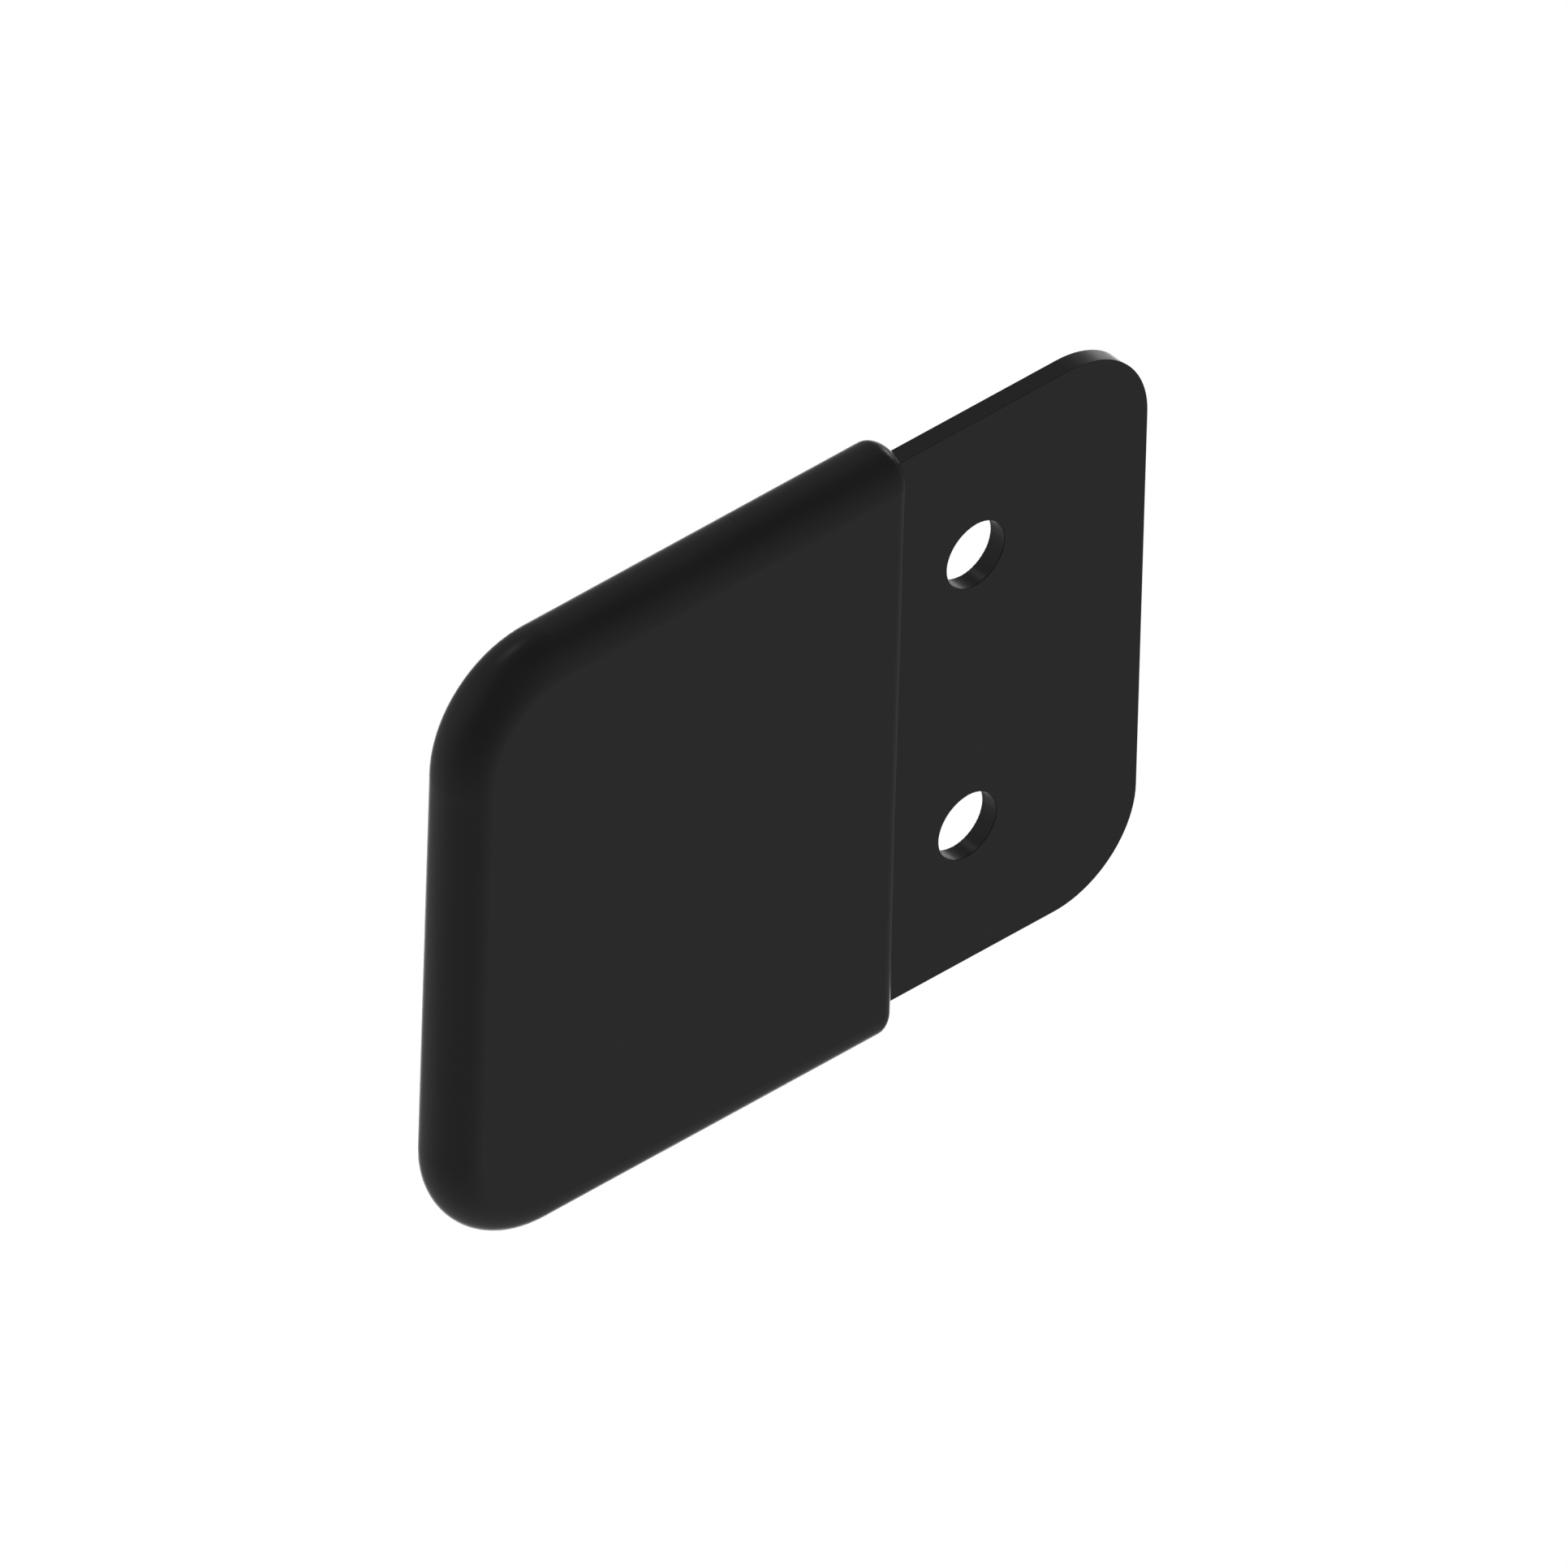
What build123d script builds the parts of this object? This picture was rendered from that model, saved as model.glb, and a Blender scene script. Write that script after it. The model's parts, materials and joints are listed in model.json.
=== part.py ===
from build123d import *
import os

# A light door hinge with a concealed knuckle. A bare steel leaf with two holes bolts to the
# frame. The door side is a second leaf sealed inside a slim cover with a full-round rim, and
# it is bolted to the door's face from behind.
#
# Frame: millimetres, origin midway between the two frame-leaf holes on the leaf's mounting
# face, +X towards the leaf's free edge, +Y towards the door and +Z up, along the hinge pin.

# Frame leaf
LEAF_HEIGHT = 80.0
LEAF_THICKNESS = 2.5
LEAF_CORNER_RADIUS = 12.5
LEAF_SHOWN_WIDTH = 40.0
HOLE_TO_FREE_EDGE = 26.65
FRAME_HOLE_DIAMETER = 9.0
FRAME_HOLE_SPACING = 40.0

# Cover: an offset of the leaf's outline, with a full-round rim and a square-cut hinge end
COVER_MARGIN = 3.2
COVER_LENGTH = 69.8
COVER_END_EDGE_RADIUS = 2.0
COVER_RIM_WIDTH = 5.2
COVER_FRONT_WALL = 1.6
SEAT_LEDGE_WIDTH = 2.0
RIB_THICKNESS = 1.2
RIB_LEVEL = 8.0
POST_RADIUS = 3.7
POST_INSET = 7.0
LIP_CLEARANCE = 0.3

# Knuckle and pin
PIN_TO_COVER_END = 5.0
BARREL_RADIUS = 3.0
BARREL_CLEARANCE = 0.3
LEAF_TO_BARREL_GAP = 0.5
KNUCKLE_PITCH = 16.0
BARREL_END_Z = 39.6
CAP_INNER_Z = 40.3
PIN_RADIUS = 1.5
PIN_HALF_LENGTH = 40.1
PIN_CHAMFER = 0.3
PIN_FIT_CLEARANCE = 0.02
PIN_GROOVE_DEPTH = 0.2
PIN_GROOVE_WIDTH = 2.4

# Flanged bushes in the door leaf's knuckles, and slip washers at the barrel's ends
BUSH_OUTER_RADIUS = 2.0
BUSH_RUNNING_CLEARANCE = 0.04
BUSH_LENGTH = 6.0
BUSH_FLANGE_RADIUS = 2.8
BUSH_FLANGE_THICKNESS = 0.5
AXIAL_CLEARANCE = 0.1
WASHER_RADIUS = 2.8
WASHER_THICKNESS = 0.5
WASHER_BORE_RADIUS = 1.6

# Small fits between pieces of one body
SEAT_CLEARANCE = 0.15
HAIR_CLEARANCE = 0.02

# Threaded inserts for the door bolts (M5)
INSERT_SPACING_X = 36.0
INSERT_SPACING_Z = 40.0
INSERT_RADIUS = 4.0
INSERT_BORE_RADIUS = 2.1
INSERT_FLANGE_RADIUS = 5.0
INSERT_FLANGE_THICKNESS = 1.2
INSERT_BELOW_DOOR_FACE = 0.2
INSERT_MOUTH_CHAMFER = 0.4

# Base plate and gasket that close the cover's back
BASE_PLATE_THICKNESS = 2.4
BASE_LIP_TO_PIN = 1.75
BASE_LIP_WIDTH = 1.1
GASKET_HOLE_MARGIN = 0.5

# Cover screws (M3, countersunk)
SCREW_RADIUS = 1.5
SCREW_HEAD_RADIUS = 2.8
SCREW_HEAD_DEPTH = 1.3
SCREW_TIP_Y = -1.4
SCREW_HOLE_BOTTOM_Y = -2.0
SCREW_SOCKET_FLATS = 2.0
SCREW_SOCKET_DEPTH = 0.9

# Lock screw (M2, headless)
LOCK_SCREW_RADIUS = 1.0
LOCK_SCREW_RECESS = 0.1
LOCK_SOCKET_FLATS = 0.9
LOCK_SOCKET_DEPTH = 0.7

# Stop strip: the cushion inside the cover's lip that the frame leaf closes flat against
STRIP_WIDTH = 1.0
STRIP_THICKNESS = 1.0
STRIP_FROM_END = 0.55
STRIP_LEAF_GAP = 0.1
STRIP_HALF_HEIGHT = 38.0

# Small radius on the bare leaf's edges, and how far a cutting solid runs past the surface it cuts
EDGE_BREAK = 0.1
PAST = 1.0

# Places worked out from the driving dimensions
Y_MID = LEAF_THICKNESS / 2
Y_FRONT = -COVER_MARGIN
Y_DOOR_FACE = LEAF_THICKNESS + COVER_MARGIN
COVER_THICKNESS = Y_DOOR_FACE - Y_FRONT
COVER_HALF_HEIGHT = LEAF_HEIGHT / 2 + COVER_MARGIN
COVER_CORNER_RADIUS = LEAF_CORNER_RADIUS + COVER_MARGIN
RIM_RADIUS = COVER_THICKNESS / 2
X_FREE_EDGE = HOLE_TO_FREE_EDGE
X_COVER_END = X_FREE_EDGE - LEAF_SHOWN_WIDTH
X_COVER_LEFT = X_COVER_END - COVER_LENGTH
X_PIN = X_COVER_END - PIN_TO_COVER_END
BARREL_BAY_RADIUS = BARREL_RADIUS + BARREL_CLEARANCE
X_DOOR_LEAF_EDGE = X_PIN - BARREL_RADIUS - LEAF_TO_BARREL_GAP
X_FRAME_LEAF_EDGE = X_PIN + BARREL_RADIUS + LEAF_TO_BARREL_GAP
X_BAY = X_DOOR_LEAF_EDGE - SEAT_CLEARANCE
X_POCKET_LEFT = X_COVER_LEFT + COVER_RIM_WIDTH
POCKET_HALF_HEIGHT = COVER_HALF_HEIGHT - COVER_RIM_WIDTH
POCKET_CORNER_RADIUS = COVER_CORNER_RADIUS - COVER_RIM_WIDTH
X_SEATED_LEFT = X_POCKET_LEFT + SEAT_CLEARANCE
SEATED_HALF_HEIGHT = POCKET_HALF_HEIGHT - SEAT_CLEARANCE
SEATED_CORNER_RADIUS = POCKET_CORNER_RADIUS - SEAT_CLEARANCE
Y_BASE_BACK = LEAF_THICKNESS + BASE_PLATE_THICKNESS
Y_LIP_INNER = -LIP_CLEARANCE
FRAME_KNUCKLE_END = KNUCKLE_PITCH / 2 - BUSH_FLANGE_THICKNESS / 2
DOOR_KNUCKLE_BOTTOM = FRAME_KNUCKLE_END + AXIAL_CLEARANCE + BUSH_FLANGE_THICKNESS
DOOR_KNUCKLE_TOP = 2 * KNUCKLE_PITCH - DOOR_KNUCKLE_BOTTOM
TOP_KNUCKLE_BOTTOM = 2 * KNUCKLE_PITCH - FRAME_KNUCKLE_END
FRAME_KNUCKLES = [
    (-BARREL_END_Z, -TOP_KNUCKLE_BOTTOM),
    (-FRAME_KNUCKLE_END, FRAME_KNUCKLE_END),
    (TOP_KNUCKLE_BOTTOM, BARREL_END_Z),
]
DOOR_KNUCKLES = [
    (-DOOR_KNUCKLE_TOP, -DOOR_KNUCKLE_BOTTOM),
    (DOOR_KNUCKLE_BOTTOM, DOOR_KNUCKLE_TOP),
]
X_INSERT_CENTRE = (X_SEATED_LEFT + X_DOOR_LEAF_EDGE) / 2
INSERT_PLACES = [
    (X_INSERT_CENTRE + side * INSERT_SPACING_X / 2, level * INSERT_SPACING_Z / 2)
    for side in (-1, 1)
    for level in (-1, 1)
]
POST_X = {"left": X_SEATED_LEFT + POST_INSET, "right": X_DOOR_LEAF_EDGE - POST_INSET}
POST_Z = {"lower": -SEATED_HALF_HEIGHT + POST_INSET, "upper": SEATED_HALF_HEIGHT - POST_INSET}
POST_PLACES = {
    f"{level}_{side}": (x, z) for level, z in POST_Z.items() for side, x in POST_X.items()
}


def block(x_low, x_high, y_low, y_high, z_low, z_high):
    """A box between two corners."""
    centre = Pos((x_low + x_high) / 2, (y_low + y_high) / 2, (z_low + z_high) / 2)
    return centre * Box(x_high - x_low, y_high - y_low, z_high - z_low)


def rod_y(x, z, y_low, y_high, radius):
    """A cylinder along Y."""
    return Pos(x, (y_low + y_high) / 2, z) * Rot(90, 0, 0) * Cylinder(radius, y_high - y_low)


def cone_y(x, z, y_low, y_high, radius_low, radius_high):
    """A cone along Y, with a radius for each end."""
    centre = Pos(x, (y_low + y_high) / 2, z)
    return centre * Rot(-90, 0, 0) * Cone(radius_low, radius_high, y_high - y_low)


def rod_on_pin(z_low, z_high, radius):
    """A cylinder on the hinge pin's axis."""
    return Pos(X_PIN, Y_MID, (z_low + z_high) / 2) * Cylinder(radius, z_high - z_low)


def socket_y(x, z, y_high, depth, across_flats):
    """A hexagon socket cut into a face that looks along +Y."""
    hexagon = RegularPolygon(across_flats / 2, 6, major_radius=False)
    return extrude(Plane.XZ.offset(-y_high) * Pos(x, z) * hexagon, amount=depth)


def half_rounded_plate(x_square, x_round, half_height, radius, y_low, y_high):
    """A plate whose two corners at x_round are rounded and whose other end is square."""
    width = abs(x_round - x_square)
    plate = block(min(x_square, x_round), min(x_square, x_round) + width, y_low, y_high,
                  -half_height, half_height)
    corners = plate.edges().filter_by(Axis.Y).filter_by_position(Axis.X, x_round, x_round)
    return fillet(corners, radius)


def knuckles(spans, x_leaf_edge):
    """Barrel lengths on the pin's axis, each joined to its leaf by a web."""
    solids = []
    for z_low, z_high in spans:
        barrel = rod_on_pin(z_low, z_high, BARREL_RADIUS)
        x_low, x_high = sorted((X_PIN, x_leaf_edge))
        solids.append(barrel + block(x_low, x_high, 0, LEAF_THICKNESS, z_low, z_high))
    return solids


def make_frame_leaf():
    """The bare leaf: two bolt holes, three knuckles and the lock screw's hole."""
    leaf = half_rounded_plate(X_FRAME_LEAF_EDGE, X_FREE_EDGE, LEAF_HEIGHT / 2, LEAF_CORNER_RADIUS,
                              0, LEAF_THICKNESS)
    for level in (-1, 1):
        z_hole = level * FRAME_HOLE_SPACING / 2
        leaf -= rod_y(0, z_hole, -PAST, LEAF_THICKNESS + PAST, FRAME_HOLE_DIAMETER / 2)
    hinge_side = leaf.edges().filter_by_position(Axis.X, X_FRAME_LEAF_EDGE, X_FRAME_LEAF_EDGE)
    across = leaf.edges().filter_by(Axis.Y)
    leaf = fillet(leaf.edges() - hinge_side - across, EDGE_BREAK)
    for knuckle in knuckles(FRAME_KNUCKLES, X_FRAME_LEAF_EDGE):
        leaf += knuckle
    leaf -= rod_on_pin(-LEAF_HEIGHT, LEAF_HEIGHT, PIN_RADIUS + PIN_FIT_CLEARANCE)
    leaf -= rod_y(X_PIN, 0, Y_MID, Y_MID + BARREL_RADIUS + PAST, LOCK_SCREW_RADIUS)
    return leaf


def make_door_leaf():
    """The hidden leaf: two knuckles, holes for the cover's posts and for the inserts."""
    leaf = half_rounded_plate(X_DOOR_LEAF_EDGE, X_SEATED_LEFT, SEATED_HALF_HEIGHT,
                              SEATED_CORNER_RADIUS, 0, LEAF_THICKNESS)
    for knuckle in knuckles(DOOR_KNUCKLES, X_DOOR_LEAF_EDGE):
        leaf += knuckle
    leaf -= rod_on_pin(-LEAF_HEIGHT, LEAF_HEIGHT, BUSH_OUTER_RADIUS)
    for x, z in POST_PLACES.values():
        leaf -= rod_y(x, z, -PAST, LEAF_THICKNESS + PAST, POST_RADIUS + SEAT_CLEARANCE)
    for x, z in INSERT_PLACES:
        leaf -= rod_y(x, z, -PAST, LEAF_THICKNESS + PAST, INSERT_RADIUS)
    return leaf


def cover_blank():
    """The cover's outside: a flat core, half-round rims and toroidal corners."""
    x_rim = X_COVER_LEFT + RIM_RADIUS
    z_rim = COVER_HALF_HEIGHT - RIM_RADIUS
    x_corner = X_COVER_LEFT + COVER_CORNER_RADIUS
    z_corner = COVER_HALF_HEIGHT - COVER_CORNER_RADIUS
    bend = COVER_CORNER_RADIUS - RIM_RADIUS
    blank = half_rounded_plate(X_COVER_END, x_rim, z_rim, bend, Y_FRONT, Y_DOOR_FACE)
    straight = X_COVER_END - x_corner
    blank += Pos(x_rim, Y_MID, 0) * Cylinder(RIM_RADIUS, 2 * z_corner)
    for level in (-1, 1):
        long_rim = Pos((X_COVER_END + x_corner) / 2, Y_MID, level * z_rim)
        blank += long_rim * Rot(0, 90, 0) * Cylinder(RIM_RADIUS, straight)
        ring = Pos(x_corner, Y_MID, level * z_corner) * Rot(90, 0, 0) * Torus(bend, RIM_RADIUS)
        z_low, z_high = sorted((level * z_corner, level * (COVER_HALF_HEIGHT + PAST)))
        corner = block(X_COVER_LEFT - PAST, x_corner, Y_FRONT - PAST, Y_DOOR_FACE + PAST,
                       z_low, z_high)
        blank += ring & corner
    end_edges = blank.edges().filter_by_position(Axis.X, X_COVER_END, X_COVER_END)
    return fillet(end_edges, COVER_END_EDGE_RADIUS)


def cover_hollow():
    """The space cored out of the front wall, with ribs left across it."""
    x_low = X_POCKET_LEFT + SEAT_LEDGE_WIDTH
    x_high = X_BAY - SEAT_LEDGE_WIDTH
    half_height = POCKET_HALF_HEIGHT - SEAT_LEDGE_WIDTH
    y_floor = Y_FRONT + COVER_FRONT_WALL
    hollow = half_rounded_plate(x_high, x_low, half_height, POCKET_CORNER_RADIUS - SEAT_LEDGE_WIDTH,
                                y_floor, PAST)
    half_rib = RIB_THICKNESS / 2
    for level in (-1, 1):
        z_rib = level * RIB_LEVEL
        hollow -= block(x_low, x_high, y_floor, 0, z_rib - half_rib, z_rib + half_rib)
    hollow -= block(X_INSERT_CENTRE - half_rib, X_INSERT_CENTRE + half_rib, y_floor, 0,
                    -half_height, half_height)
    for x, z in POST_PLACES.values():
        hollow -= rod_y(x, z, y_floor, PAST, POST_RADIUS)
    return hollow


def cover_bay():
    """The slot at the hinge end that the barrel and the swinging frame leaf need."""
    y_out = Y_DOOR_FACE + PAST
    x_out = X_COVER_END + PAST
    bay = block(X_BAY, x_out, 0, y_out, -CAP_INNER_Z, CAP_INNER_Z)
    bay += rod_on_pin(-CAP_INNER_Z, CAP_INNER_Z, BARREL_BAY_RADIUS)
    bay += block(X_PIN, x_out, Y_LIP_INNER, 0, -CAP_INNER_Z, CAP_INNER_Z)
    return bay


def strip_box(half_height):
    """The stop strip's place in the lip."""
    x_high = X_COVER_END - STRIP_FROM_END
    y_high = -STRIP_LEAF_GAP
    return block(x_high - STRIP_WIDTH, x_high, y_high - STRIP_THICKNESS, y_high,
                 -half_height, half_height)


def make_cover():
    """One die-cast shell: full-round rim, seat for the door leaf, hinge bay and screw posts."""
    cover = cover_blank()
    cover -= half_rounded_plate(X_BAY, X_POCKET_LEFT, POCKET_HALF_HEIGHT, POCKET_CORNER_RADIUS,
                                0, Y_DOOR_FACE + PAST)
    cover -= cover_bay()
    cover -= cover_hollow()
    cover -= strip_box(STRIP_HALF_HEIGHT + HAIR_CLEARANCE)
    for x, z in POST_PLACES.values():
        cover += rod_y(x, z, Y_FRONT + COVER_FRONT_WALL, LEAF_THICKNESS, POST_RADIUS)
        cover -= rod_y(x, z, SCREW_HOLE_BOTTOM_Y, LEAF_THICKNESS + PAST, SCREW_RADIUS)
    return cover


def make_base_plate():
    """The plate that closes the cover's back. Its lip hides half of the barrel and is trimmed to the rim."""
    plate = half_rounded_plate(X_BAY, X_SEATED_LEFT, SEATED_HALF_HEIGHT, SEATED_CORNER_RADIUS,
                               LEAF_THICKNESS, Y_BASE_BACK)
    x_lip = X_PIN - BASE_LIP_TO_PIN
    z_lip = CAP_INNER_Z - SEAT_CLEARANCE
    plate += block(X_BAY - BASE_LIP_WIDTH, x_lip, LEAF_THICKNESS, Y_DOOR_FACE,
                   -SEATED_HALF_HEIGHT, SEATED_HALF_HEIGHT)
    long_lip = block(X_BAY + HAIR_CLEARANCE, x_lip, LEAF_THICKNESS, Y_DOOR_FACE, -z_lip, z_lip)
    plate += long_lip & cover_blank()
    plate -= rod_on_pin(-LEAF_HEIGHT, LEAF_HEIGHT, BARREL_BAY_RADIUS)
    for x, z in INSERT_PLACES:
        plate -= rod_y(x, z, 0, Y_DOOR_FACE, INSERT_RADIUS + SEAT_CLEARANCE)
    for x, z in POST_PLACES.values():
        plate -= rod_y(x, z, 0, Y_DOOR_FACE, SCREW_RADIUS + SEAT_CLEARANCE)
        plate -= cone_y(x, z, Y_BASE_BACK - SCREW_HEAD_DEPTH, Y_BASE_BACK,
                        SCREW_RADIUS + SEAT_CLEARANCE, SCREW_HEAD_RADIUS + SEAT_CLEARANCE)
    return plate


def make_gasket():
    """The thin pad between the base plate and the door, flush with the cover's back."""
    gasket = half_rounded_plate(X_BAY - BASE_LIP_WIDTH - SEAT_CLEARANCE, X_SEATED_LEFT,
                                SEATED_HALF_HEIGHT, SEATED_CORNER_RADIUS, Y_BASE_BACK, Y_DOOR_FACE)
    for x, z in INSERT_PLACES:
        gasket -= rod_y(x, z, 0, Y_DOOR_FACE + PAST, INSERT_RADIUS + GASKET_HOLE_MARGIN)
    for x, z in POST_PLACES.values():
        gasket -= rod_y(x, z, 0, Y_DOOR_FACE + PAST, SCREW_HEAD_RADIUS + GASKET_HOLE_MARGIN)
    return gasket


def make_hinge_pin():
    """The pin, with a groove at mid-height for the lock screw's tip."""
    pin = rod_on_pin(-PIN_HALF_LENGTH, PIN_HALF_LENGTH, PIN_RADIUS)
    pin = chamfer(pin.edges().filter_by(GeomType.CIRCLE), PIN_CHAMFER)
    half_groove = PIN_GROOVE_WIDTH / 2
    ring = rod_on_pin(-half_groove, half_groove, PIN_RADIUS + PAST)
    ring -= rod_on_pin(-half_groove, half_groove, PIN_RADIUS - PIN_GROOVE_DEPTH)
    return pin - ring


def make_lock_screw():
    """The headless screw that keeps the pin from turning or falling out."""
    y_tip = Y_MID + PIN_RADIUS - PIN_GROOVE_DEPTH + HAIR_CLEARANCE
    y_head = Y_MID + BARREL_RADIUS - LOCK_SCREW_RECESS
    screw = rod_y(X_PIN, 0, y_tip, y_head, LOCK_SCREW_RADIUS - HAIR_CLEARANCE)
    return screw - socket_y(X_PIN, 0, y_head, LOCK_SOCKET_DEPTH, LOCK_SOCKET_FLATS)


def make_bush(z_flange, inward):
    """A flanged bush pressed into one end of a door-leaf knuckle; inward is +1 or -1."""
    z_outer = z_flange - inward * BUSH_FLANGE_THICKNESS
    z_inner = z_flange + inward * BUSH_LENGTH
    flange = rod_on_pin(*sorted((z_outer, z_flange)), BUSH_FLANGE_RADIUS)
    sleeve = rod_on_pin(*sorted((z_flange, z_inner)), BUSH_OUTER_RADIUS - HAIR_CLEARANCE)
    bore = rod_on_pin(*sorted((z_outer, z_inner)), PIN_RADIUS + BUSH_RUNNING_CLEARANCE)
    return flange + sleeve - bore


def make_end_washer(end):
    """The slip washer between the barrel's end and the cover's cap; end is +1 or -1."""
    z_near = end * (BARREL_END_Z + AXIAL_CLEARANCE)
    z_far = end * (BARREL_END_Z + AXIAL_CLEARANCE + WASHER_THICKNESS)
    z_low, z_high = sorted((z_near, z_far))
    return rod_on_pin(z_low, z_high, WASHER_RADIUS) - rod_on_pin(z_low, z_high, WASHER_BORE_RADIUS)


def make_door_insert(x, z):
    """A threaded insert whose flange pulls on the front of the door leaf."""
    y_mouth = Y_DOOR_FACE - INSERT_BELOW_DOOR_FACE
    insert = rod_y(x, z, -INSERT_FLANGE_THICKNESS, 0, INSERT_FLANGE_RADIUS)
    insert += rod_y(x, z, 0, y_mouth, INSERT_RADIUS - HAIR_CLEARANCE)
    insert -= rod_y(x, z, -INSERT_FLANGE_THICKNESS, y_mouth, INSERT_BORE_RADIUS)
    insert -= cone_y(x, z, y_mouth - INSERT_MOUTH_CHAMFER, y_mouth,
                     INSERT_BORE_RADIUS, INSERT_BORE_RADIUS + INSERT_MOUTH_CHAMFER)
    return insert


def make_cover_screw(x, z):
    """A countersunk screw from the base plate into one of the cover's posts."""
    y_cone = Y_BASE_BACK - SCREW_HEAD_DEPTH
    shank_radius = SCREW_RADIUS - HAIR_CLEARANCE
    screw = rod_y(x, z, SCREW_TIP_Y, y_cone, shank_radius)
    screw += cone_y(x, z, y_cone, Y_BASE_BACK, shank_radius, SCREW_HEAD_RADIUS)
    return screw - socket_y(x, z, Y_BASE_BACK, SCREW_SOCKET_DEPTH, SCREW_SOCKET_FLATS)


def make_parts():
    """Every piece of the hinge, by name."""
    parts = {
        "frame_leaf": make_frame_leaf(),
        "door_leaf": make_door_leaf(),
        "cover": make_cover(),
        "base_plate": make_base_plate(),
        "back_gasket": make_gasket(),
        "stop_strip": strip_box(STRIP_HALF_HEIGHT),
        "hinge_pin": make_hinge_pin(),
        "pin_lock_screw": make_lock_screw(),
        "end_washer_top": make_end_washer(1),
        "end_washer_bottom": make_end_washer(-1),
    }
    for knuckle, (z_low, z_high) in zip(("lower", "upper"), DOOR_KNUCKLES):
        parts[f"{knuckle}_knuckle_bush_bottom"] = make_bush(z_low, 1)
        parts[f"{knuckle}_knuckle_bush_top"] = make_bush(z_high, -1)
    for place, (x, z) in POST_PLACES.items():
        parts[f"cover_screw_{place}"] = make_cover_screw(x, z)
    for number, (x, z) in enumerate(INSERT_PLACES, start=1):
        parts[f"door_insert_{number}"] = make_door_insert(x, z)
    return parts


os.makedirs("parts", exist_ok=True)
for name, shape in make_parts().items():
    export_step(shape, f"parts/{name}.step")
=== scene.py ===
import bmesh
import bpy
import json
import math
from mathutils import Matrix, Vector


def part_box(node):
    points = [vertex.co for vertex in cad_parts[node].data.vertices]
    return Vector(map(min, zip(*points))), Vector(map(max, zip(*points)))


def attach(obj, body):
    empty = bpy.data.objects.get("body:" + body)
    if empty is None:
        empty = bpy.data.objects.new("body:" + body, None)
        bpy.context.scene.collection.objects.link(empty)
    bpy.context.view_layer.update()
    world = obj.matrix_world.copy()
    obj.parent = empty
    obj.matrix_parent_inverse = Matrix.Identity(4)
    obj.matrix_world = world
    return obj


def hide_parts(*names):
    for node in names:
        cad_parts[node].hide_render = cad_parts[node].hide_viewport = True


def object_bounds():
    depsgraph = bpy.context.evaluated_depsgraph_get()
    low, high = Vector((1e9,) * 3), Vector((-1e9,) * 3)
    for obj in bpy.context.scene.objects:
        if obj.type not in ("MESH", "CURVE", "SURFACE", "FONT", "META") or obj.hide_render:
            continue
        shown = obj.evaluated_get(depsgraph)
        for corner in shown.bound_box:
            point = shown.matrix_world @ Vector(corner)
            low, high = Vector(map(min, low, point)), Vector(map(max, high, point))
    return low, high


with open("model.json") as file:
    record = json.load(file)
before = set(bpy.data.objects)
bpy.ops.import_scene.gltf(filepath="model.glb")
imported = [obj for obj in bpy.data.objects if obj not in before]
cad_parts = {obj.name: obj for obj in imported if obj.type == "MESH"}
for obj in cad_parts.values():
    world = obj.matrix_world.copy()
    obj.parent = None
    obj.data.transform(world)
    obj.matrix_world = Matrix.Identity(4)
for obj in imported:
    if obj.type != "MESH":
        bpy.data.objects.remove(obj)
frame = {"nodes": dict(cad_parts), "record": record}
cad_low, cad_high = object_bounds()

MM = 0.001
NOISE_TILT = (0.64, 0.37, 0.93)  # turns the noise off the part's axes, so no lattice shows on a flat face
NOISE_LOW, NOISE_HIGH = 0.3, 0.7  # where nearly all of a noise's values lie
EDGE_SAMPLES = 6
EDGE_STARTS, EDGE_FULL = 0.97, 0.8  # cosine between the rounded normal and the true one
MIX_COLOUR_A, MIX_COLOUR_B, MIX_COLOUR_RESULT = 6, 7, 2  # a Mix node's sockets for colours


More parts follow.
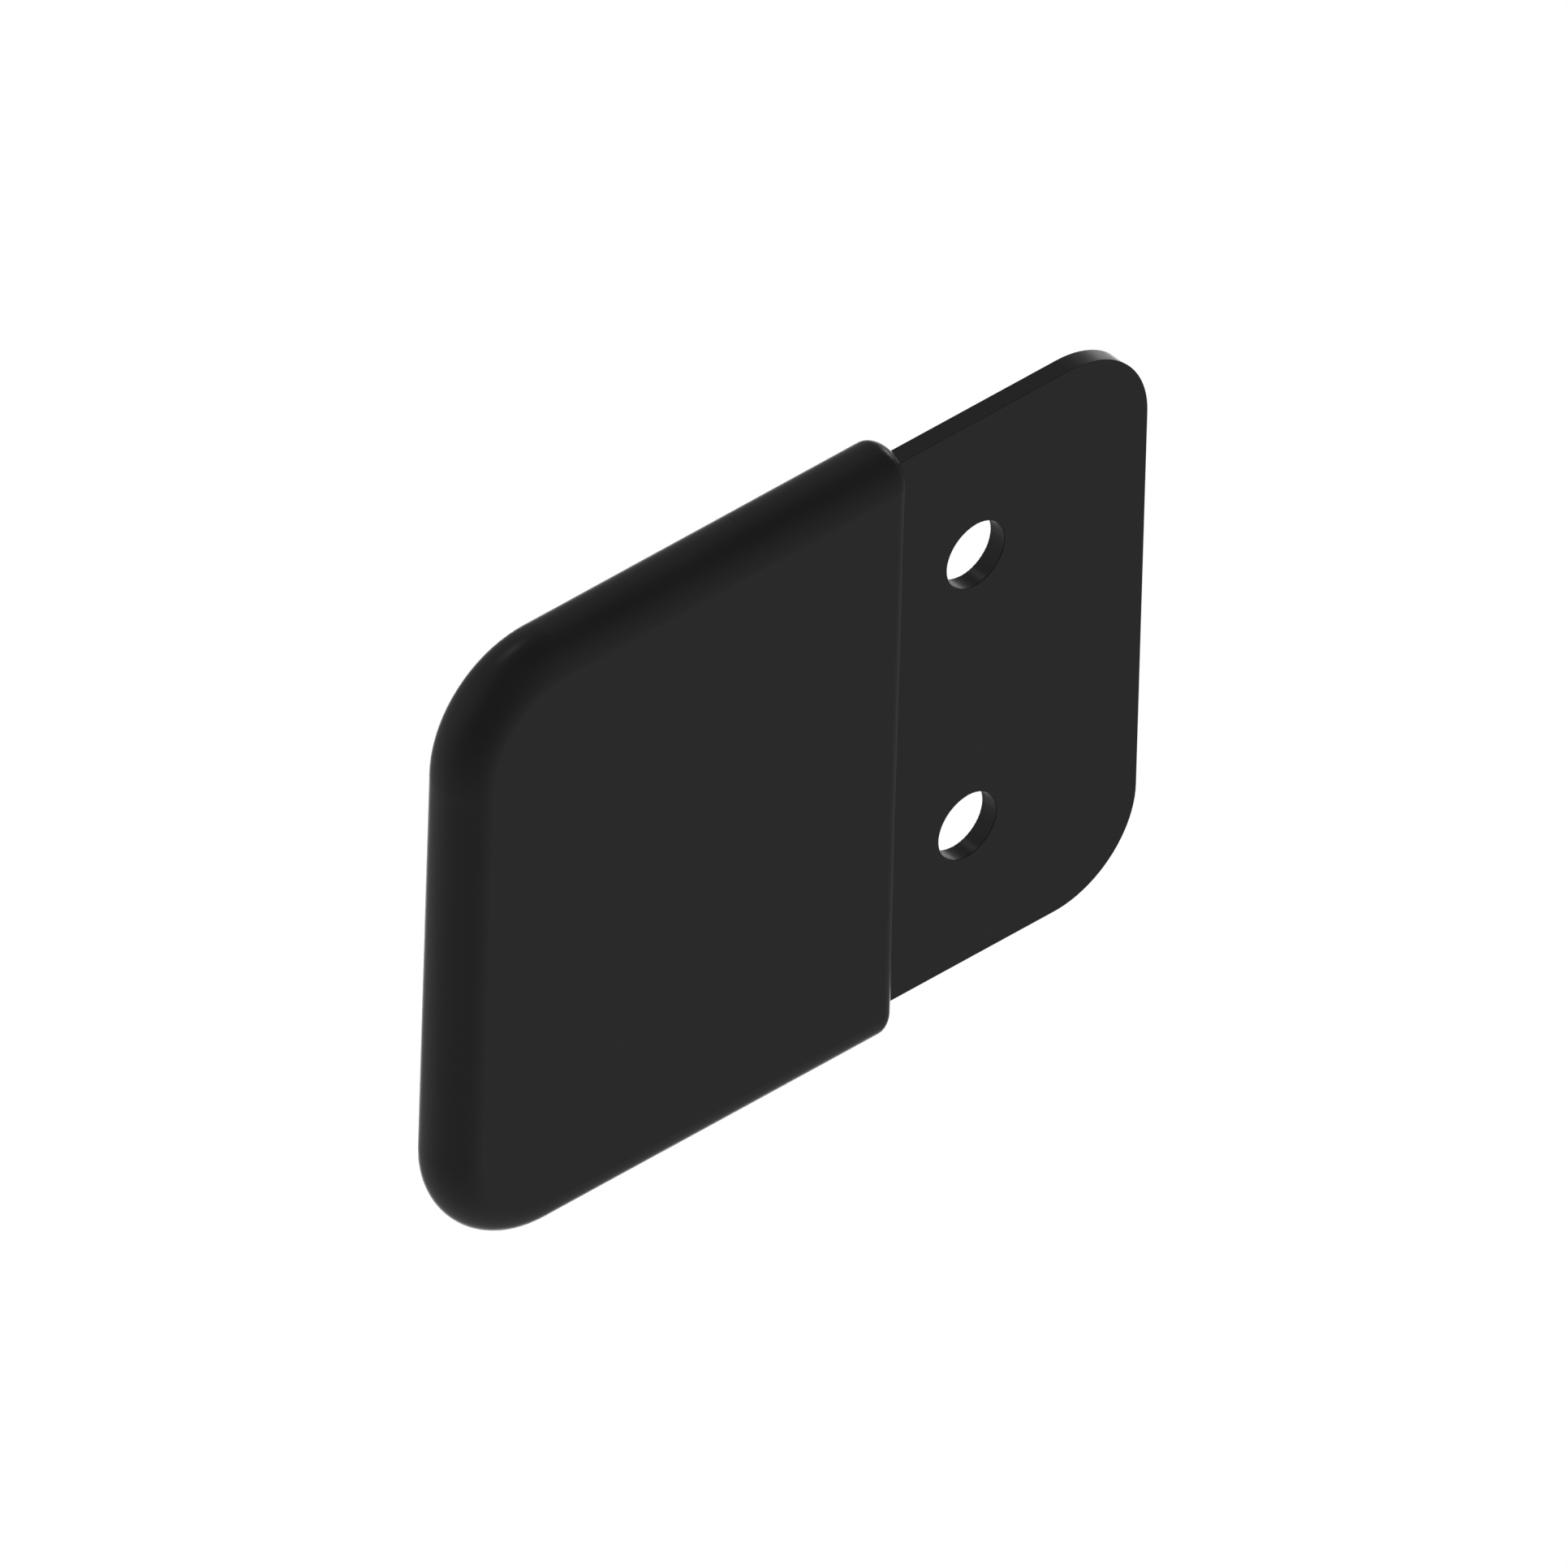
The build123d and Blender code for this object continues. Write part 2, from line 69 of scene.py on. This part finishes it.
# ---------------------------------------------------------------- node helpers
class Tree:
    """A material's node tree, with one short call per kind of node."""

    def __init__(self, name):
        self.material = bpy.data.materials.new(name)
        self.material.use_nodes = True
        self.nodes = self.material.node_tree.nodes
        self.links = self.material.node_tree.links
        self.shader = self.nodes["Principled BSDF"]
        self.place = self.nodes.new("ShaderNodeTexCoord").outputs["Object"]

    def put(self, socket, value):
        if hasattr(value, "is_linked"):
            self.links.new(value, socket)
        else:
            socket.default_value = value

    def set(self, **values):
        """Shader inputs by name, with _ for a space."""
        for name, value in values.items():
            self.put(self.shader.inputs[name.replace("_", " ")], value)

    def noise(self, per_mm, detail=2.0, rough=0.5, stretch=(1, 1, 1)):
        """Noise with this many cells per millimetre."""
        where = self.nodes.new("ShaderNodeMapping")
        where.inputs["Scale"].default_value = stretch
        where.inputs["Rotation"].default_value = NOISE_TILT
        self.links.new(self.place, where.inputs["Vector"])
        noise = self.nodes.new("ShaderNodeTexNoise")
        noise.inputs["Scale"].default_value = per_mm / MM
        noise.inputs["Detail"].default_value = detail
        noise.inputs["Roughness"].default_value = rough
        self.links.new(where.outputs["Vector"], noise.inputs["Vector"])
        return noise.outputs["Fac"]

    def cells(self, per_mm):
        """Distance to the nearest cell centre, with this many cells per millimetre."""
        where = self.nodes.new("ShaderNodeMapping")
        where.inputs["Rotation"].default_value = NOISE_TILT
        self.links.new(self.place, where.inputs["Vector"])
        cells = self.nodes.new("ShaderNodeTexVoronoi")
        cells.inputs["Scale"].default_value = per_mm / MM
        self.links.new(where.outputs["Vector"], cells.inputs["Vector"])
        return cells.outputs["Distance"]

    def ramp(self, value, low, high, out_low, out_high):
        """Maps low..high to out_low..out_high, with the ends held."""
        node = self.nodes.new("ShaderNodeMapRange")
        self.put(node.inputs["Value"], value)
        limits = {"From Min": low, "From Max": high, "To Min": out_low, "To Max": out_high}
        for name, number in limits.items():
            node.inputs[name].default_value = number
        return node.outputs["Result"]

    def spread(self, noise, out_low, out_high):
        """Maps a noise's usual values to out_low..out_high."""
        return self.ramp(noise, NOISE_LOW, NOISE_HIGH, out_low, out_high)

    def math(self, operation, *values):
        node = self.nodes.new("ShaderNodeMath")
        node.operation = operation
        for socket, value in zip(node.inputs, values):
            self.put(socket, value)
        return node.outputs["Value"]

    def mix(self, share, first, second):
        """Colour from first to second as share goes from 0 to 1."""
        node = self.nodes.new("ShaderNodeMix")
        node.data_type = "RGBA"
        self.put(node.inputs["Factor"], share)
        for place, colour in ((MIX_COLOUR_A, first), (MIX_COLOUR_B, second)):
            self.put(node.inputs[place], colour if hasattr(colour, "is_linked") else (*colour, 1.0))
        return node.outputs[MIX_COLOUR_RESULT]

    def bump(self, height, distance_mm, under=None):
        """Relief this deep, laid over another normal if one is given."""
        node = self.nodes.new("ShaderNodeBump")
        node.inputs["Distance"].default_value = distance_mm * MM
        self.put(node.inputs["Height"], height)
        if under is not None:
            self.links.new(under, node.inputs["Normal"])
        return node.outputs["Normal"]

    def rounded(self, radius_mm):
        """The normal as if every edge had this radius."""
        node = self.nodes.new("ShaderNodeBevel")
        node.samples = EDGE_SAMPLES
        node.inputs["Radius"].default_value = radius_mm * MM
        return node.outputs["Normal"]

    def edges(self, radius_mm):
        """0 on a face, rising to 1 on an edge, over this distance."""
        node = self.nodes.new("ShaderNodeVectorMath")
        node.operation = "DOT_PRODUCT"
        self.links.new(self.rounded(radius_mm), node.inputs[0])
        self.links.new(self.nodes.new("ShaderNodeNewGeometry").outputs["Normal"], node.inputs[1])
        return self.ramp(node.outputs["Value"], EDGE_STARTS, EDGE_FULL, 0.0, 1.0)


def grey(value):
    return (value, value, value)


# ---------------------------------------------------------------- finishes
COAT_PEEL_DEPTH = 0.006
COAT_GRAIN_DEPTH = 0.0015
COAT_GLOSS_DRIFT = 0.015
COAT_GRAIN_GLOSS = 0.012
COAT_HIGHLIGHT_RADIUS = 0.2


def powder_coat(name, tone, roughness):
    """Satin black powder coat: fine orange peel, faint drift in gloss, and a painted highlight that lightens
    the edges.
    """
    t = Tree(name)
    drift = t.noise(0.06, detail=3.0)
    peel = t.noise(1.1, detail=1.0, rough=0.4)
    grain = t.noise(3.6, detail=1.0)
    base = t.mix(t.spread(drift, 0.0, 1.0), grey(tone * 0.93), grey(tone * 1.07))
    base = t.mix(t.ramp(grain, 0.60, 0.78, 0.0, 0.3), base, grey(tone * 1.5))
    # painted highlight: the edges are lightened in the base colour, standing in for light caught on a
    # rounded edge
    base = t.mix(t.math("MULTIPLY", t.edges(COAT_HIGHLIGHT_RADIUS), 0.3), base, grey(tone * 2.0))
    gloss = t.spread(drift, roughness - COAT_GLOSS_DRIFT, roughness + COAT_GLOSS_DRIFT)
    gloss = t.math("ADD", gloss, t.spread(grain, -COAT_GRAIN_GLOSS, COAT_GRAIN_GLOSS))
    relief = t.bump(grain, COAT_GRAIN_DEPTH, under=t.bump(peel, COAT_PEEL_DEPTH))
    t.set(Base_Color=base, Roughness=gloss, Normal=relief, IOR=1.5)
    return t.material


def moulded_nylon():
    """Glass-filled black nylon with a spark-eroded texture, and a painted highlight on the edges."""
    t = Tree("base_black")
    spark = t.cells(2.6)
    fine = t.noise(4.5, detail=2.0, rough=0.6)
    drift = t.noise(0.09, detail=3.0)
    base = t.mix(t.spread(drift, 0.0, 1.0), (0.030, 0.030, 0.031), (0.041, 0.041, 0.042))
    # painted highlight: the edges are lightened in the base colour
    base = t.mix(t.math("MULTIPLY", t.edges(0.25), 0.5), base, grey(0.075))
    texture = t.bump(spark, 0.02, under=t.rounded(0.2))
    t.set(Base_Color=base, Roughness=t.spread(fine, 0.50, 0.66), IOR=1.53,
          Normal=t.bump(fine, 0.005, under=texture))
    return t.material


def rubber(name, tone):
    """Matt rubber, skived or extruded, with a little bloom."""
    t = Tree(name)
    fine = t.noise(4.0, detail=3.0, rough=0.65)
    bloom = t.noise(0.22, detail=4.0, rough=0.6)
    base = t.mix(t.ramp(bloom, 0.42, 0.75, 0.0, 0.7), grey(tone), grey(tone * 1.8))
    t.set(Base_Color=base, Roughness=t.spread(bloom, 0.78, 0.9), IOR=1.52,
          Normal=t.bump(fine, 0.01, under=t.rounded(0.15)))
    return t.material


METAL_GRAIN_DEPTH = 0.0015
METAL_GLOSS_DRIFT = 0.04
METAL_GRAIN_GLOSS = 0.05
METAL_WEAR_RADIUS = 0.12
METAL_EDGE_RADIUS = 0.08


def metal(name, light, dark, roughness, grain_stretch, edge=None, spots=None):
    """Bare or plated metal with a directional grain."""
    t = Tree(name)
    grain = t.noise(4.0, detail=2.0, rough=0.6, stretch=grain_stretch)
    drift = t.noise(0.35, detail=3.0)
    base = t.mix(t.ramp(drift, 0.35, 0.7, 0.0, 1.0), light, dark)
    if spots is not None:
        spot_noise = t.noise(1.6, detail=3.0, rough=0.6)
        base = t.mix(t.ramp(spot_noise, 0.55, 0.68, 0.0, 0.8), base, spots)
    if edge is not None:
        base = t.mix(t.edges(METAL_WEAR_RADIUS), base, edge)
    gloss = t.math("ADD", t.spread(drift, roughness - METAL_GLOSS_DRIFT, roughness + METAL_GLOSS_DRIFT),
                   t.spread(grain, -METAL_GRAIN_GLOSS, METAL_GRAIN_GLOSS))
    relief = t.bump(grain, METAL_GRAIN_DEPTH, under=t.rounded(METAL_EDGE_RADIUS))
    t.set(Base_Color=base, Metallic=1.0, Roughness=gloss, Normal=relief)
    return t.material


def acetal():
    """Natural acetal: milky white with a turned face."""
    t = Tree("washer_acetal")
    drift = t.noise(0.5, detail=3.0)
    fine = t.noise(4.0, detail=2.0, rough=0.6)
    base = t.mix(t.spread(drift, 0.0, 1.0), (0.80, 0.80, 0.76), (0.70, 0.70, 0.65))
    t.set(Base_Color=base, Roughness=t.spread(fine, 0.34, 0.46), IOR=1.48,
          Subsurface_Weight=0.08, Subsurface_Scale=1.5 * MM, Normal=t.bump(fine, 0.002))
    return t.material


FINISHES = {
    "leaf_black": powder_coat("leaf_black", 0.012, 0.25),
    "cover_black": powder_coat("cover_black", 0.012, 0.25),
    "base_black": moulded_nylon(),
    "gasket_rubber": rubber("gasket_rubber", 0.022),
    "strip_rubber": rubber("strip_rubber", 0.018),
    "pin_steel": metal("pin_steel", (0.62, 0.62, 0.63), (0.52, 0.52, 0.53), 0.22, (1, 1, 14)),
    "screw_steel": metal("screw_steel", (0.085, 0.085, 0.09), (0.055, 0.055, 0.06), 0.38, (1, 1, 1),
                         edge=(0.2, 0.2, 0.2)),
    "insert_steel": metal("insert_steel", (0.66, 0.66, 0.64), (0.54, 0.55, 0.56), 0.34, (1, 9, 1),
                          spots=(0.60, 0.59, 0.52)),
    "bush_bronze": metal("bush_bronze", (0.53, 0.36, 0.19), (0.40, 0.26, 0.13), 0.42, (1, 1, 1),
                         spots=(0.26, 0.17, 0.09)),
    "washer_acetal": acetal(),
}
slot_of = {part["node"]: part["material_slot"] for part in frame["record"]["subparts"]}
for node, thing in frame["nodes"].items():
    for holder in thing.material_slots:
        holder.material = FINISHES[slot_of[node]]

# ---------------------------------------------------------------- threaded inserts
THREAD_PITCH = 0.8 * MM
THREAD_DEPTH = 0.4 * MM
INSERT_BODY_RADIUS = 3.98 * MM
INSERT_FLANGE_THICKNESS = 1.2 * MM
INSERT_EDGE = 0.15 * MM
TURN_STEPS = 48
ROWS_PER_PITCH = 16
CREST_FROM_ROOT = 0.375
ROOT_HALF_WIDTH = 0.0625
MERGE_DISTANCE = 0.0005 * MM
SHARP_ANGLE = math.radians(25)


def groove(phase):
    """How deep the thread is at this share of a pitch: 0 on the crest, 1 at the root."""
    from_root = abs(phase % 1.0 - 0.5)
    return min(max((CREST_FROM_ROOT - from_root) / (CREST_FROM_ROOT - ROOT_HALF_WIDTH), 0.0), 1.0)


def ring_point(axis_x, axis_z, turn, radius, y):
    angle = 2 * math.pi * turn
    return (axis_x + radius * math.cos(angle), y, axis_z + radius * math.sin(angle))


def threaded_insert(name, node, bore_radius):
    """The door insert with its thread cut: helical rows down the bore, plain rings round the outside."""
    low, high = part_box(node)
    axis_x, axis_z = (low.x + high.x) / 2, (low.z + high.z) / 2
    flange_radius = (high.x - low.x) / 2
    mesh = bmesh.new()

    def thread_row(row):
        points = []
        for step in range(TURN_STEPS):
            turn = step / TURN_STEPS
            y = low.y + THREAD_PITCH * (row / ROWS_PER_PITCH - 1 + turn)
            y = min(max(y, low.y), high.y)
            cut = THREAD_DEPTH * groove((y - low.y) / THREAD_PITCH - turn)
            mouth = y - (high.y - THREAD_DEPTH)
            points.append(mesh.verts.new(ring_point(axis_x, axis_z, turn, bore_radius + max(cut, mouth), y)))
        return points

    def ring(radius, y):
        return [mesh.verts.new(ring_point(axis_x, axis_z, step / TURN_STEPS, radius, y))
                for step in range(TURN_STEPS)]

    def skin(first, second):
        for step in range(TURN_STEPS):
            after = (step + 1) % TURN_STEPS
            mesh.faces.new((first[step], first[after], second[after], second[step]))

    row_count = math.ceil((high.y - low.y) / THREAD_PITCH + 1) * ROWS_PER_PITCH + 1
    rows = [thread_row(row) for row in range(row_count)]
    for row in range(row_count - 1):
        below, above = rows[row], rows[row + 1]
        for step in range(TURN_STEPS - 1):
            mesh.faces.new((below[step], below[step + 1], above[step + 1], above[step]))
        if row + 1 + ROWS_PER_PITCH < row_count:
            turned, turned_above = rows[row + ROWS_PER_PITCH], rows[row + 1 + ROWS_PER_PITCH]
            mesh.faces.new((below[-1], turned[0], turned_above[0], above[-1]))
    y_flange = low.y + INSERT_FLANGE_THICKNESS
    outside = [
        ring(flange_radius - INSERT_EDGE, low.y),
        ring(flange_radius, low.y + INSERT_EDGE),
        ring(flange_radius, y_flange),
        ring(INSERT_BODY_RADIUS, y_flange),
        ring(INSERT_BODY_RADIUS, high.y - INSERT_EDGE),
        ring(INSERT_BODY_RADIUS - INSERT_EDGE, high.y),
    ]
    loops = [rows[0], *outside, rows[-1]]
    for first, second in zip(loops, loops[1:]):
        skin(first, second)
    bmesh.ops.remove_doubles(mesh, verts=mesh.verts, dist=MERGE_DISTANCE)
    bmesh.ops.recalc_face_normals(mesh, faces=mesh.faces)
    data = bpy.data.meshes.new(name)
    mesh.to_mesh(data)
    mesh.free()
    data.shade_smooth()
    data.set_sharp_from_angle(angle=SHARP_ANGLE)
    data.materials.append(FINISHES["insert_steel"])
    piece = bpy.data.objects.new(name, data)
    bpy.context.scene.collection.objects.link(piece)
    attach(piece, "door_side")
    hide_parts(node)


door_bolts = next(mount for mount in frame["record"]["mounts"] if mount["name"] == "door_bolts")
door_bolt_radius = door_bolts["dims"]["hole_r_mm"] * MM
for number in range(1, door_bolts["dims"]["count"] + 1):
    threaded_insert(f"threaded_insert_{number}", f"door_insert_{number}", door_bolt_radius)

# ---------------------------------------------------------------- camera
AZIMUTH = math.radians(-43.39)
ELEVATION = math.radians(38.37)
ROLL = math.radians(1.755)
ORTHO_WIDTH = 0.18141
CAMERA_DISTANCE = 0.5
CLIP_NEAR, CLIP_FAR = 0.01, 10.0

back = Vector((math.sin(AZIMUTH) * math.cos(ELEVATION), -math.cos(AZIMUTH) * math.cos(ELEVATION),
               math.sin(ELEVATION)))
level = Vector((math.cos(AZIMUTH), math.sin(AZIMUTH), 0.0))
upright = back.cross(level)
right = math.cos(ROLL) * level + math.sin(ROLL) * upright
up = math.cos(ROLL) * upright - math.sin(ROLL) * level
target = (cad_low + cad_high) / 2

camera_data = bpy.data.cameras.new("camera")
camera_data.type = "ORTHO"
camera_data.ortho_scale = ORTHO_WIDTH
camera_data.clip_start = CLIP_NEAR
camera_data.clip_end = CLIP_FAR
camera = bpy.data.objects.new("camera", camera_data)
camera.matrix_world = Matrix.Translation(target + back * CAMERA_DISTANCE) @ Matrix(
    (right, up, back)).transposed().to_4x4()
bpy.context.scene.collection.objects.link(camera)
bpy.context.scene.camera = camera

# ---------------------------------------------------------------- floor
FLOOR_SIZE = 6.0
FLOOR_GAP = 0.05 * MM
floor_mesh = bpy.data.meshes.new("floor")
half = FLOOR_SIZE / 2
floor_z = cad_low.z - FLOOR_GAP
floor_mesh.from_pydata([(-half, -half, floor_z), (half, -half, floor_z), (half, half, floor_z),
                        (-half, half, floor_z)], [], [(0, 1, 2, 3)])
floor = bpy.data.objects.new("floor", floor_mesh)
bpy.context.scene.collection.objects.link(floor)
floor_material = bpy.data.materials.new("floor_white")
floor_material.use_nodes = True
floor_material.node_tree.nodes.clear()
glow = floor_material.node_tree.nodes.new("ShaderNodeEmission")
floor_out = floor_material.node_tree.nodes.new("ShaderNodeOutputMaterial")
floor_material.node_tree.links.new(glow.outputs[0], floor_out.inputs["Surface"])
floor_mesh.materials.append(floor_material)
floor.visible_diffuse = False
floor.visible_glossy = False
floor.visible_transmission = False
floor.visible_shadow = False

# ---------------------------------------------------------------- studio light
SKY_LEVEL = 0.12
# Each light: which way a surface faces that shows it to the camera, spread in degrees, strength.
STUDIO_LIGHTS = {
    "pale table, in the flat faces": ((0, -1, 0), 35, 0.12),
    "table at the left, in the left rim": ((-1, -1, 0), 30, 0.1),
    "fill at the front, low in the upper rim": ((0, -2, 1), 25, 0.12),
    "table behind, at the right in the holes": ((-1, 0, 0), 40, 0.2),
    "fill overhead, in the upper left corner": ((-1, -2, 2), 25, 0.06),
    "ceiling, in the top edges": ((0, 0, 1), 25, 0.08),
    "softbox behind, low in the holes": ((-1, 0, 1), 30, 0.2),
    "strip overhead, across the bottom of the holes": ((-1, 0, 3), 6, 0.6),
    "backdrop, in the outlines": (level, 10, 5.0),
    "low strip, in the leaf's upper corner": ((1, 0, 2), 8, 1.0),
    "key softbox, in the cover's upper end": ((1, -1, 3), 8, 3.0),
}


def mirrored(normal):
    """The direction that a surface facing this way shows to the camera."""
    normal = Vector(normal).normalized()
    return 2 * normal.dot(back) * normal - back


class Sky:
    """The world's node tree: soft round lights on a faint even sky, and plain white to the camera."""

    def __init__(self, name):
        self.world = bpy.data.worlds.new(name)
        self.world.use_nodes = True
        self.nodes = self.world.node_tree.nodes
        self.links = self.world.node_tree.links
        self.nodes.clear()
        self.direction = self.nodes.new("ShaderNodeTexCoord").outputs["Generated"]

    def math(self, operation, *values):
        node = self.nodes.new("ShaderNodeMath")
        node.operation = operation
        for socket, value in zip(node.inputs, values):
            if hasattr(value, "is_linked"):
                self.links.new(value, socket)
            else:
                socket.default_value = value
        return node.outputs["Value"]

    def light(self, towards, spread):
        """1 in the light's own direction, falling off as a bell curve with this spread."""
        facing = self.nodes.new("ShaderNodeVectorMath")
        facing.operation = "DOT_PRODUCT"
        self.links.new(self.direction, facing.inputs[0])
        facing.inputs[1].default_value = towards
        tightness = 1 / math.radians(spread) ** 2
        falloff = self.math("MULTIPLY_ADD", facing.outputs["Value"], tightness, -tightness)
        return self.math("EXPONENT", falloff)

    def background(self, strength):
        node = self.nodes.new("ShaderNodeBackground")
        node.inputs["Color"].default_value = (1, 1, 1, 1)
        if hasattr(strength, "is_linked"):
            self.links.new(strength, node.inputs["Strength"])
        else:
            node.inputs["Strength"].default_value = strength
        return node.outputs["Background"]

    def finish(self, brightness):
        choice = self.nodes.new("ShaderNodeMixShader")
        self.links.new(self.nodes.new("ShaderNodeLightPath").outputs["Is Camera Ray"], choice.inputs["Fac"])
        self.links.new(self.background(brightness), choice.inputs[1])
        self.links.new(self.background(1.0), choice.inputs[2])
        self.links.new(choice.outputs["Shader"], self.nodes.new("ShaderNodeOutputWorld").inputs["Surface"])
        return self.world


sky = Sky("studio")
brightness = SKY_LEVEL
for normal, spread, strength in STUDIO_LIGHTS.values():
    brightness = sky.math("MULTIPLY_ADD", sky.light(mirrored(normal), spread), strength, brightness)
bpy.context.scene.world = sky.finish(brightness)

bpy.context.scene.view_settings.view_transform = "Standard"
